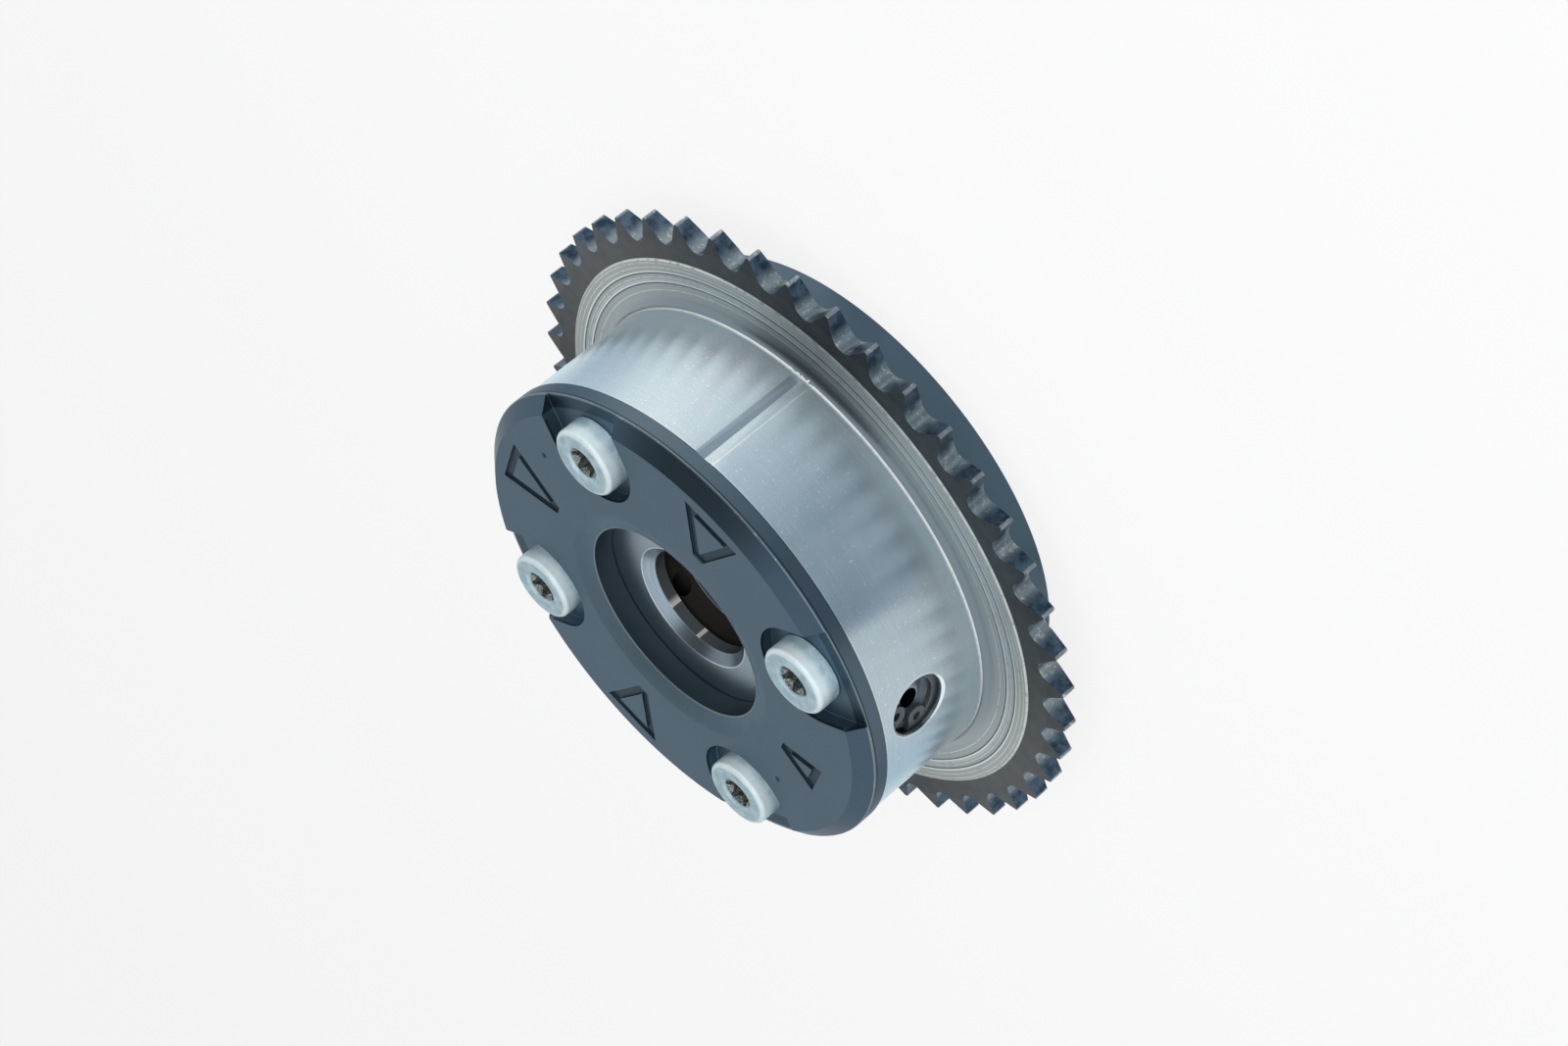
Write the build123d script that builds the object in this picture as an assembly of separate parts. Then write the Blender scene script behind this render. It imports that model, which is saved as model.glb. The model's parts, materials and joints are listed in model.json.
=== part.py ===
from build123d import *
from math import acos, atan2, cos, degrees, hypot, pi, radians, sin, sqrt
import os

# Cam phaser: a toothed housing driven by a timing chain, with a vaned rotor inside that turns
# the camshaft a few degrees against it under oil pressure.
# Millimetres and degrees. Z is the axis of rotation, with the bolted front cover up.
# The origin is the centre of the rear face, and +X runs along the radial lock pin.

# Chain wheel
chain_pitch = 8.0
tooth_count = 44
bush_radius = 2.0
bush_seat_clearance = 0.05
tooth_addendum = 2.2
tooth_land = 0.5
tooth_tip_width = 2.55
tooth_taper_length = 3.3
tooth_angle = -0.67
flange_thickness = 3.8
hard_ring_drop = 0.25
hard_ring_width = 3.0
light_ring_chamfer = 0.3
turned_groove_places = (0.59, 0.31)
turned_groove_share = 0.06
turned_groove_depth = 0.14
flange_fillet = 1.9

# Housing and its four lobes
housing_radius = 42.6
housing_length = 26.5
housing_wall = 4.6
chamber_corner_radius = 1.6
lobe_half_angle = 16.0
lock_lobe_reach = 35.0
edge_break = 0.15

# Shallow V-shaped locating groove down the outside of the housing, deepest at the seam
groove_angle = 74.4
groove_width = 3.3
groove_depth = 0.5
groove_end_depth = 0.15
groove_runout = 2.0

# Covers
rear_cover_thickness = 10.9
rear_cover_chamfer = 0.5
front_cover_thickness = 5.05
front_cover_step = 0.3
front_chamfer_width = 2.75
front_chamfer_height = 2.35
front_hole_radius = 18.2
front_cone_radius = 21.8
front_cone_depth = 1.1

# Marks cut in the front cover's face: outlined triangles pointing at the axis, and punched dots
mark_tip_radius = 25.9
mark_base_radius = 37.6
mark_half_width = 5.7
small_mark_share = 0.68
mark_tip_half_width = 1.0
mark_stroke = 1.6
mark_depth = 0.45
dot_places = ((33.5, 134.2), (29.9, 312.0))
dot_radius = 0.75
dot_depth = 0.5

# Cover bolts, M6
bolt_count = 4
bolt_angle = 18.55
bolt_radius = 3.0
bolt_length = 35.0
bolt_hole_clearance = 0.3
thread_clearance = 0.025
thread_run = 1.5
bolt_head_radius = 6.1
bolt_head_height = 4.3
bolt_head_chamfer = 0.8
drive_tip_radius = 2.8
drive_waist_radius = 2.0
drive_flute_radius = 1.15
drive_depth = 2.7
drive_lead_radius = 3.3
pocket_depth = 2.45
pocket_half_width = 9.2
pocket_offset = 0.8

# Rotor
rotor_travel = 24.0
stop_gap_angle = 0.5
hub_radius = 23.8
tip_gap = 0.25
face_gap = 0.05
boss_radius = 18.0
boss_clearance = 0.05
boss_recess = 0.3
pilot_radius = 15.0
pilot_depth = 8.7
bolt_seat_radius = 6.5
bolt_seat_web = 7.0
front_bore_radius = 10.0
bore_chamfer = 1.6
bore_lip_length = 3.55
oil_groove_radius = 11.2
oil_groove_width = 4.2
oil_land_width = 4.6
oil_hole_radius = 1.65
oil_hole_wall_angle = 1.0
front_oil_hole_lead = 37.85
dowel_hole_radius = 2.55
dowel_hole_depth = 4.5
dowel_circle_radius = 10.6
vane_root_fillet = 1.0

# Tip seals and the leaf springs behind them
seal_width = 2.4
seal_height = 2.6
seal_slot_clearance = 0.05
seal_running_gap = 0.05
leaf_thickness = 0.25
leaf_rise = 0.9
leaf_width = 1.8
leaf_length = 18.0

# Radial lock. Shares are of the depth of a lobe, from its tip to the outside of the housing.
lock_height = 14.8
lock_mouth_radius = 5.25
lock_mouth_chamfer = 0.4
lock_guide_share = 0.213
lock_stroke_share = 0.162
lock_seat_share = 0.108
lock_nose_radius = 3.5
lock_nose_clearance = 0.04
lock_nose_chamfer = 0.4
lock_hole_clearance = 0.08
lock_pin_radius = 4.45
lock_pin_clearance = 0.05
lock_pin_wall = 1.3
lock_pin_web = 1.0
lock_shoulder_gap = 0.5
lock_end_gap = 0.5
lock_track_depth = 0.6
lock_track_clearance = 0.2
lock_feed_radius = 1.0
spring_wire_radius = 0.3
spring_pitch = 1.4
spring_clearance = 0.1

# Vented spring seat and the retaining ring over it
seat_clearance = 0.05
seat_rim_width = 0.9
seat_collar_radius = 2.05
seat_collar_drop = 0.05
seat_cone_radius = 3.9
seat_web = 0.8
seat_vent_radius = 1.75
seat_spigot_radius = 2.2
seat_spigot_length = 1.4
ring_depth = 1.4
ring_thickness = 1.0
ring_side_gap = 0.05
ring_groove_depth = 0.45
ring_band = 1.5
ring_direction = 141.0
ring_gap_half_angle = 18.0
ring_lug_angle = 43.9
ring_lug_circle = 3.65
ring_lug_radius = 1.85
ring_lug_hole_radius = 0.72

# Gap left where one piece lies on another, and how far a cutting body runs past a face
touch_gap = 0.02
cut_margin = 1.0

# Worked out from the sizes above
pitch_radius = chain_pitch / (2 * sin(pi / tooth_count))
tooth_root_radius = pitch_radius - bush_radius - bush_seat_clearance
tooth_tip_radius = pitch_radius + tooth_addendum
light_ring_radius = tooth_root_radius - hard_ring_width
chamber_radius = housing_radius - housing_wall
front_cover_radius = housing_radius + front_cover_step
bolt_circle_radius = (hub_radius + housing_radius) / 2
flange_front = rear_cover_thickness + flange_thickness
seam = rear_cover_thickness + housing_length
front_face = seam + front_cover_thickness
pocket_floor = front_face - pocket_depth
bolt_angles = [bolt_angle + 360 / bolt_count * k for k in range(bolt_count)]
lock_lobe_start = bolt_angle - lock_lobe_reach
stop_chamber_start = bolt_angles[-1] + lobe_half_angle - 360
stop_vane_angle = (stop_chamber_start + lock_lobe_start) / 2
stop_chamber_span = lock_lobe_start - stop_chamber_start
vane_half_angle = (stop_chamber_span - rotor_travel) / 2 - stop_gap_angle
vane_angles = [bolt_angle + 180 / bolt_count + 360 / bolt_count * k for k in range(bolt_count - 1)]
vane_angles.append(stop_vane_angle)
lobe_tip_radius = hub_radius + tip_gap
vane_tip_radius = chamber_radius - tip_gap
rotor_rear = rear_cover_thickness + face_gap
rotor_front = seam - face_gap
rotor_length = rotor_front - rotor_rear
rotor_middle = (rotor_front + rotor_rear) / 2
seal_slot_depth = seal_height + leaf_rise + seal_running_gap
lobe_depth = housing_radius - lobe_tip_radius
lock_centre = flange_front + lock_height
lock_stroke = lock_stroke_share * lobe_depth
lock_lift = lock_stroke / 2
lock_track_floor = hub_radius - lock_track_depth
nose_tip = lock_track_floor + touch_gap
ring_outer = housing_radius - ring_depth
ring_inner = ring_outer - ring_thickness
seat_outer = ring_inner - ring_side_gap
seat_inner = seat_outer - lock_seat_share * lobe_depth
mouth_floor = seat_inner - touch_gap
nose_guide_end = lobe_tip_radius + lock_guide_share * lobe_depth
pin_shoulder = nose_guide_end + lock_stroke + lock_shoulder_gap
pin_end = seat_inner - lock_lift - lock_end_gap
pin_hollow_floor = pin_shoulder + lock_pin_web
pin_hollow_radius = lock_pin_radius - lock_pin_wall
lock_plane = Plane(origin=(0, 0, lock_centre), x_dir=(0, 1, 0), z_dir=(1, 0, 0))


def polar(radius, angle):
    """Point in the XY plane at a radius and an angle in degrees."""
    return (radius * cos(radians(angle)), radius * sin(radians(angle)))


def turned(points):
    """Solid turned about Z from (radius, height) points joined by straight lines."""
    return revolve(Plane.XZ * make_face(Polyline(*points, close=True)), axis=Axis.Z)


def disc(radius, low, high):
    """Round bar along Z between two heights."""
    return Pos(0, 0, low) * extrude(Circle(radius), high - low)


def radial_bar(radius, inner, outer):
    """Round bar along the lock pin's axis, between two distances from Z."""
    return lock_plane * Pos(0, 0, inner) * extrude(Circle(radius), outer - inner)


def ring_sector(inner, outer, start, end):
    """Flat sector of a ring between two angles."""
    middle = (start + end) / 2
    outline = Wire([
        ThreePointArc(polar(outer, start), polar(outer, middle), polar(outer, end)).edge(),
        Line(polar(outer, end), polar(inner, end)).edge(),
        ThreePointArc(polar(inner, end), polar(inner, middle), polar(inner, start)).edge(),
        Line(polar(inner, start), polar(outer, start)).edge(),
    ])
    return make_face(outline)


def tooth_gap():
    """Space between two chain teeth: a round seat for the bush and a straight flank to each tip."""
    corner_angle = pi / tooth_count - tooth_land / 2 / tooth_tip_radius
    corner_x = tooth_tip_radius * cos(corner_angle)
    corner_y = tooth_tip_radius * sin(corner_angle)
    seat_radius = bush_radius + bush_seat_clearance
    reach = hypot(corner_x - pitch_radius, corner_y)
    tangent = atan2(corner_y, corner_x - pitch_radius) + acos(seat_radius / reach)
    seat_x = pitch_radius + seat_radius * cos(tangent)
    seat_y = seat_radius * sin(tangent)
    flank = hypot(corner_x - seat_x, corner_y - seat_y)
    past_tip = 1 + cut_margin / flank
    far_x = seat_x + (corner_x - seat_x) * past_tip
    far_y = seat_y + (corner_y - seat_y) * past_tip
    outline = Wire([
        ThreePointArc((seat_x, seat_y), (tooth_root_radius, 0), (seat_x, -seat_y)).edge(),
        Line((seat_x, -seat_y), (far_x, -far_y)).edge(),
        Line((far_x, -far_y), (far_x, far_y)).edge(),
        Line((far_x, far_y), (seat_x, seat_y)).edge(),
    ])
    blank = Pos(0, 0, rear_cover_thickness) * extrude(make_face(outline), flange_thickness)
    return Rot(0, 0, tooth_angle + 180 / tooth_count) * blank


def housing_blank():
    """Outside of the housing and its chain wheel, turned in one piece."""
    taper = (flange_thickness - tooth_tip_width) / 2
    taper_start = tooth_tip_radius - tooth_taper_length
    hard_front = flange_front - hard_ring_drop
    tip_rear = rear_cover_thickness + taper
    tip_front = tip_rear + tooth_tip_width
    fillet_middle = flange_fillet * (1 - sqrt(0.5))
    light_ring_start = housing_radius + flange_fillet
    light_ring_width = light_ring_radius - light_ring_start
    half_groove = turned_groove_share / 2
    upper = [(light_ring_radius, hard_front), (light_ring_radius, flange_front - light_ring_chamfer)]
    upper.append((light_ring_radius - light_ring_chamfer, flange_front))
    for place in turned_groove_places:
        upper.append((light_ring_start + (place + half_groove) * light_ring_width, flange_front))
        upper.append((light_ring_start + place * light_ring_width, flange_front - turned_groove_depth))
        upper.append((light_ring_start + (place - half_groove) * light_ring_width, flange_front))
    upper.append((light_ring_start, flange_front))
    wall_foot = (housing_radius, flange_front + flange_fillet)
    outline = Wire([
        *Polyline((0, rear_cover_thickness), (taper_start, rear_cover_thickness),
                  (tooth_tip_radius, tip_rear), (tooth_tip_radius, tip_front),
                  (taper_start, hard_front), *upper).edges(),
        ThreePointArc(upper[-1],
                      (housing_radius + fillet_middle, flange_front + fillet_middle),
                      wall_foot).edge(),
        *Polyline(wall_foot, (housing_radius, seam - edge_break), (housing_radius - edge_break, seam),
                  (0, seam), (0, rear_cover_thickness)).edges(),
    ])
    return revolve(Plane.XZ * make_face(outline), axis=Axis.Z)


def oil_chambers():
    """Hollow of the housing: the rotor's round space and four chambers between the lobes."""
    hollow = Circle(lobe_tip_radius)
    for k, angle in enumerate(bolt_angles):
        lobe_end = angle + lobe_half_angle
        last = k == bolt_count - 1
        next_lobe = lock_lobe_start + 360 if last else bolt_angles[k + 1] - lobe_half_angle
        chamber = ring_sector(lobe_tip_radius / 2, chamber_radius, lobe_end, next_lobe)
        corners = chamber.vertices().filter_by(lambda v: hypot(v.X, v.Y) > chamber_radius - 0.01)
        hollow += fillet(corners, chamber_corner_radius)
    tips = [v for v in hollow.vertices() if abs(hypot(v.X, v.Y) - lobe_tip_radius) < 0.01]
    hollow = fillet(tips, vane_root_fillet + tip_gap)
    return Pos(0, 0, rear_cover_thickness) * extrude(hollow, housing_length)


def seal_slot(inner, outer, angle, length, low):
    """Slot for a tip seal, cut the full length of a lobe or a vane."""
    width = seal_width + 2 * seal_slot_clearance
    slot = Box(outer - inner, width, length, align=(Align.MIN, Align.CENTER, Align.MIN))
    return Rot(0, 0, angle) * Pos(inner, 0, low) * slot


def lock_bore():
    """Stepped radial bore in the lock lobe: nose guide, pin bore, and the mouth with its ring groove."""
    past_surface = housing_radius + cut_margin
    nose = radial_bar(lock_nose_radius + lock_nose_clearance, lobe_tip_radius - cut_margin,
                      nose_guide_end + cut_margin)
    pin = radial_bar(lock_pin_radius + lock_pin_clearance, nose_guide_end, mouth_floor + cut_margin)
    mouth = radial_bar(lock_mouth_radius, mouth_floor, past_surface)
    groove = radial_bar(lock_mouth_radius + ring_groove_depth, ring_inner - ring_side_gap,
                        ring_outer + ring_side_gap)
    chamfer_length = lock_mouth_chamfer + cut_margin
    chamfer = lock_plane * Pos(0, 0, past_surface - chamfer_length) * Cone(
        lock_mouth_radius, lock_mouth_radius + chamfer_length, chamfer_length,
        align=(Align.CENTER, Align.CENTER, Align.MIN))
    return nose + pin + mouth + groove + chamfer


def locating_groove():
    """Bar that leaves the locating groove: a wide V, leaning outwards from the seam to the flange."""
    outside = housing_radius + cut_margin
    half_width = (groove_depth + cut_margin) * groove_width / 2 / groove_depth
    section = Pos(0, 0, seam) * make_face(Polyline(
        (housing_radius - groove_depth, 0), (outside, -half_width), (outside, half_width), close=True))
    along = Vector(groove_depth - groove_end_depth, 0, flange_front + groove_runout - seam)
    return Rot(0, 0, groove_angle) * extrude(section, along.length, dir=along)


def sprocket_housing():
    """Chain wheel, cylinder and four lobes in one piece."""
    body = housing_blank()
    gap = tooth_gap()
    body -= [Rot(0, 0, 360 / tooth_count * k) * gap for k in range(tooth_count)]
    body -= oil_chambers()
    hole = disc(bolt_radius + bolt_hole_clearance, rear_cover_thickness, seam)
    body -= [Pos(*polar(bolt_circle_radius, angle)) * hole for angle in bolt_angles]
    slot_inner = hub_radius - tip_gap
    slot_outer = hub_radius + seal_slot_depth
    body -= [seal_slot(slot_inner, slot_outer, angle, housing_length, rear_cover_thickness)
             for angle in bolt_angles]
    body -= lock_bore()
    body -= locating_groove()
    return body


def triangle_mark(share):
    """Outlined triangle on the front cover along +X, its point towards the axis."""
    tip = mark_tip_radius
    base = tip + (mark_base_radius - tip) * share
    half = mark_half_width * share
    border = make_face(Polyline((tip, -mark_tip_half_width), (base, -half), (base, half),
                                (tip, mark_tip_half_width), close=True))
    outline = border - offset(border, -mark_stroke, kind=Kind.INTERSECTION)
    return Pos(0, 0, front_face - mark_depth) * extrude(outline, mark_depth)


def face_marks():
    """All that is cut in the front cover's face: a triangle over each vane and two punched dots."""
    marks = []
    for k in range(bolt_count):
        share = small_mark_share if k == bolt_count - 1 else 1.0
        marks.append(Rot(0, 0, bolt_angles[k] + 180 / bolt_count) * triangle_mark(share))
    for radius, angle in dot_places:
        dot = Cone(0, dot_radius, dot_depth, align=(Align.CENTER, Align.CENTER, Align.MAX))
        marks.append(Pos(*polar(radius, angle), front_face) * dot)
    return marks


def front_cover():
    """Thick front plate with a chamfered rim, a coned centre hole and an open pocket at each bolt."""
    cone_foot = front_face - front_cone_depth
    plateau = front_cover_radius - front_chamfer_width
    body = turned([
        (front_hole_radius, seam), (front_cover_radius, seam),
        (front_cover_radius, front_face - front_chamfer_height), (plateau, front_face),
        (front_cone_radius, front_face), (front_hole_radius, cone_foot)])
    pocket_outline = Pos(bolt_circle_radius + pocket_offset, 0) * Circle(pocket_half_width)
    open_end = front_cover_radius - bolt_circle_radius - pocket_offset + cut_margin
    pocket_outline += Pos(bolt_circle_radius + pocket_offset, 0) * Rectangle(
        open_end, 2 * pocket_half_width, align=(Align.MIN, Align.CENTER))
    pocket = Pos(0, 0, pocket_floor) * extrude(pocket_outline, pocket_depth)
    hole = Pos(bolt_circle_radius, 0) * disc(bolt_radius + bolt_hole_clearance, seam, front_face)
    body -= [Rot(0, 0, angle) * (pocket + hole) for angle in bolt_angles]
    body -= face_marks()
    return body


def rear_cover():
    """Thick rear plate that carries the rotor's boss and takes the threads of the cover bolts."""
    bore = boss_radius + boss_clearance
    rim = housing_radius
    body = turned([
        (bore, 0), (rim - rear_cover_chamfer, 0), (rim, rear_cover_chamfer),
        (rim, rear_cover_thickness), (bore, rear_cover_thickness)])
    thread_end = pocket_floor - bolt_length - thread_run
    thread = disc(bolt_radius + thread_clearance, thread_end, rear_cover_thickness)
    body -= [Pos(*polar(bolt_circle_radius, angle)) * thread for angle in bolt_angles]
    return body


def drive_recess():
    """Six-lobed drive socket with a coned mouth, pointing down from the head's top."""
    outline = Circle(drive_tip_radius)
    flute_circle = drive_waist_radius + drive_flute_radius
    for k in range(6):
        outline -= Pos(*polar(flute_circle, 30 + 60 * k)) * Circle(drive_flute_radius)
    socket = extrude(outline, -drive_depth)
    lead = drive_lead_radius - drive_waist_radius
    mouth = Pos(0, 0, -lead) * Cone(drive_waist_radius, drive_lead_radius, lead,
                                    align=(Align.CENTER, Align.CENTER, Align.MIN))
    return socket + mouth


def cover_bolt(angle):
    """M6 bolt with a chamfered head, seated in its pocket and threaded into the rear cover."""
    head_top = pocket_floor + bolt_head_height
    tip = pocket_floor - bolt_length
    tip_chamfer = bolt_radius / 6
    bolt = turned([
        (0, tip), (bolt_radius - tip_chamfer, tip), (bolt_radius, tip + tip_chamfer),
        (bolt_radius, pocket_floor), (bolt_head_radius, pocket_floor),
        (bolt_head_radius, head_top - bolt_head_chamfer),
        (bolt_head_radius - bolt_head_chamfer, head_top), (0, head_top)])
    bolt -= Pos(0, 0, head_top) * drive_recess()
    return Rot(0, 0, angle) * Pos(bolt_circle_radius, 0) * bolt


def rotor_bore():
    """Centre of the rotor: front bore with two oil grooves, bolt seat, and camshaft pilot."""
    lip_end = rotor_front - bore_lip_length
    first_end = lip_end - oil_groove_width
    second_start = first_end - oil_land_width
    second_end = second_start - oil_groove_width
    pilot_floor = boss_recess + pilot_depth
    seat = pilot_floor + bolt_seat_web
    return turned([
        (0, 0), (pilot_radius + edge_break, 0), (pilot_radius + edge_break, boss_recess),
        (pilot_radius, boss_recess + edge_break),
        (pilot_radius, pilot_floor), (bolt_seat_radius, pilot_floor), (bolt_seat_radius, seat),
        (front_bore_radius, seat), (front_bore_radius, second_end),
        (oil_groove_radius, second_end), (oil_groove_radius, second_start),
        (front_bore_radius, second_start), (front_bore_radius, first_end),
        (oil_groove_radius, first_end), (oil_groove_radius, lip_end),
        (front_bore_radius, lip_end), (front_bore_radius, rotor_front - bore_chamfer),
        (front_bore_radius + bore_chamfer, rotor_front),
        (front_bore_radius + bore_chamfer, seam + cut_margin), (0, seam + cut_margin)])


def drilling(start, end):
    """Straight drilled oil way between two (radius, angle, height) places."""
    first = Vector(*polar(start[0], start[1]), start[2])
    last = Vector(*polar(end[0], end[1]), end[2])
    along = last - first
    plane = Plane(origin=first, z_dir=along)
    return plane * extrude(Circle(oil_hole_radius), along.length)


def oil_ways():
    """Drillings from the two oil grooves to the chambers on the two sides of each vane."""
    front_height = rotor_front - bore_lip_length - oil_groove_width / 2
    rear_height = front_height - oil_land_width - oil_groove_width
    side = vane_half_angle + degrees(oil_hole_radius / hub_radius) + oil_hole_wall_angle
    inside = front_bore_radius
    outside = hub_radius + cut_margin
    ways = []
    for k, angle in enumerate(vane_angles):
        even_angle = bolt_angle + 180 / bolt_count + 360 / bolt_count * k
        start = even_angle - front_oil_hole_lead
        ways.append(drilling((inside, start, front_height), (outside, angle - side, front_height)))
        ways.append(drilling((inside, angle + side, rear_height), (outside, angle + side, rear_height)))
    return ways


def lock_track():
    """Shallow track in the hub under the pin's nose, the lock hole at its end, and its oil feed."""
    half_width = lock_nose_radius + lock_track_clearance
    half_travel = rotor_travel / 2
    outside = hub_radius + cut_margin
    sector = ring_sector(lock_track_floor, outside, -half_travel, half_travel)
    track = Pos(0, 0, lock_centre - half_width) * extrude(sector, 2 * half_width)
    end_bar = radial_bar(half_width, lock_track_floor, outside)
    hole = radial_bar(lock_nose_radius + lock_hole_clearance, nose_tip - lock_stroke - touch_gap, outside)
    feed = radial_bar(lock_feed_radius, bolt_seat_radius, hub_radius)
    ends = [Rot(0, 0, side * half_travel) * end_bar for side in (-1, 1)]
    return [track, *ends, Rot(0, 0, half_travel) * hole, feed]


def rotor():
    """Vaned rotor: hub, four vanes, rear boss and the bores that carry bolt, camshaft and oil."""
    outline = Circle(hub_radius)
    for angle in vane_angles:
        outline += ring_sector(hub_radius / 2, vane_tip_radius, angle - vane_half_angle,
                               angle + vane_half_angle)
    roots = [v for v in outline.vertices() if abs(hypot(v.X, v.Y) - hub_radius) < 0.01]
    outline = fillet(roots, vane_root_fillet)
    tips = [v for v in outline.vertices() if abs(hypot(v.X, v.Y) - vane_tip_radius) < 0.01]
    outline = fillet(tips, chamber_corner_radius)
    body = Pos(0, 0, rotor_rear) * extrude(outline, rotor_length)
    body += turned([(0, boss_recess), (boss_radius - edge_break, boss_recess),
                    (boss_radius, boss_recess + edge_break), (boss_radius, rotor_rear),
                    (0, rotor_rear)])
    body -= rotor_bore()
    body -= oil_ways()
    body -= lock_track()
    slot_inner = vane_tip_radius - seal_slot_depth + tip_gap
    body -= [seal_slot(slot_inner, chamber_radius, angle, rotor_length, rotor_rear)
             for angle in vane_angles]
    dowel = disc(dowel_hole_radius, boss_recess, boss_recess + pilot_depth + dowel_hole_depth)
    body -= Rot(0, 0, vane_angles[1]) * Pos(dowel_circle_radius, 0) * dowel
    return body


def seal_bar():
    """Square seal bar along Z, its inner face at zero, as tall as a seal and its crown or hollow need."""
    return Box(seal_height + tip_gap, seal_width, rotor_length, align=(Align.MIN, Align.CENTER, Align.MIN))


def vane_seal(angle):
    """Seal in a vane's tip, crowned to the chamber wall."""
    back = chamber_radius - seal_running_gap - seal_height
    bar = Pos(back, 0, rotor_rear) * seal_bar()
    wall = disc(chamber_radius - seal_running_gap, rotor_rear, rotor_front)
    return Rot(0, 0, angle) * (bar & wall)


def housing_seal(angle):
    """Seal in a lobe's tip, hollowed to the rotor's hub."""
    back = hub_radius + seal_running_gap + seal_height
    bar = Pos(back, 0, rotor_rear) * Rot(0, 0, 180) * seal_bar()
    return Rot(0, 0, angle) * (bar - disc(hub_radius + seal_running_gap, rotor_rear, rotor_front))


def leaf_spring(floor, direction, angle):
    """Bowed leaf between a slot's floor and its seal: direction is +1 outwards and -1 inwards."""
    low = floor + direction * touch_gap
    crest = floor + direction * (leaf_rise - touch_gap)
    half = leaf_length / 2
    step = direction * leaf_thickness
    outline = Wire([
        ThreePointArc((low, -half), (crest - step, 0), (low, half)).edge(),
        Line((low, half), (low + step, half)).edge(),
        ThreePointArc((low + step, half), (crest, 0), (low + step, -half)).edge(),
        Line((low + step, -half), (low, -half)).edge(),
    ])
    leaf = extrude(Plane.XZ * make_face(outline), leaf_width / 2, both=True)
    return Rot(0, 0, angle) * Pos(0, 0, rotor_middle) * leaf


def lock_pin():
    """Stepped pin, hollow behind for its spring, with the nose riding in the hub's track."""
    chamfered = lock_nose_radius - lock_nose_chamfer
    return lock_plane * turned([
        (0, nose_tip), (chamfered, nose_tip), (lock_nose_radius, nose_tip + lock_nose_chamfer),
        (lock_nose_radius, pin_shoulder), (lock_pin_radius, pin_shoulder), (lock_pin_radius, pin_end),
        (pin_hollow_radius, pin_end), (pin_hollow_radius, pin_hollow_floor), (0, pin_hollow_floor)])


def lock_pin_spring():
    """Coil spring inside the hollow pin, from the pin's floor out to the spring seat."""
    inner = pin_hollow_floor + touch_gap + spring_wire_radius
    outer = seat_inner - touch_gap - spring_wire_radius
    coil_radius = pin_hollow_radius - spring_clearance - spring_wire_radius
    path = Helix(pitch=spring_pitch, height=outer - inner, radius=coil_radius)
    section = Plane(origin=path @ 0, z_dir=path % 0) * RegularPolygon(spring_wire_radius, 6)
    return lock_plane * Pos(0, 0, inner) * sweep(section, path=path, is_frenet=True)


def lock_spring_seat():
    """Round plug under the retaining ring: a rim, a coned and vented collar, and a spigot for the spring."""
    rim = lock_mouth_radius - seat_clearance
    collar_top = seat_outer - seat_collar_drop
    web_top = seat_inner + seat_web
    return lock_plane * turned([
        (seat_vent_radius, seat_inner - seat_spigot_length),
        (seat_spigot_radius, seat_inner - seat_spigot_length), (seat_spigot_radius, seat_inner),
        (rim, seat_inner), (rim, seat_outer), (rim - seat_rim_width, seat_outer),
        (rim - seat_rim_width, web_top), (seat_cone_radius, web_top),
        (seat_collar_radius, collar_top), (seat_vent_radius, collar_top)])


def lock_retaining_ring():
    """Open internal retaining ring with two pierced lugs, sprung into its groove."""
    outer = lock_mouth_radius + ring_groove_depth - ring_side_gap
    shape = ring_sector(outer - ring_band, outer, ring_gap_half_angle, 360 - ring_gap_half_angle)
    for side in (-1, 1):
        lug_place = Pos(*polar(ring_lug_circle, side * ring_lug_angle))
        shape += lug_place * Circle(ring_lug_radius)
    for side in (-1, 1):
        shape -= Pos(*polar(ring_lug_circle, side * ring_lug_angle)) * Circle(ring_lug_hole_radius)
    ring = extrude(Rot(0, 0, ring_direction) * shape, ring_thickness)
    return lock_plane * Pos(0, 0, ring_inner) * ring


def all_pieces():
    """Every piece of the phaser, by the name of its node."""
    pieces = {
        "sprocket_housing": sprocket_housing(),
        "front_cover": front_cover(),
        "rear_cover": rear_cover(),
        "rotor": rotor(),
        "lock_pin": lock_pin(),
        "lock_pin_spring": lock_pin_spring(),
        "lock_spring_seat": lock_spring_seat(),
        "lock_retaining_ring": lock_retaining_ring(),
    }
    lobe_floor = hub_radius + seal_slot_depth
    vane_floor = vane_tip_radius - seal_slot_depth + tip_gap
    for k in range(bolt_count):
        pieces[f"cover_bolt_{k + 1}"] = cover_bolt(bolt_angles[k])
        pieces[f"vane_seal_{k + 1}"] = vane_seal(vane_angles[k])
        pieces[f"vane_seal_spring_{k + 1}"] = leaf_spring(vane_floor, 1, vane_angles[k])
        pieces[f"housing_seal_{k + 1}"] = housing_seal(bolt_angles[k])
        pieces[f"housing_seal_spring_{k + 1}"] = leaf_spring(lobe_floor, -1, bolt_angles[k])
    return pieces


os.makedirs("parts", exist_ok=True)
for name, piece in all_pieces().items():
    export_step(piece, f"parts/{name}.step")
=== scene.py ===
import bmesh
import bpy
import json
from math import cos, pi, radians, sin
from mathutils import Matrix, Vector
import numpy as np

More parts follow.
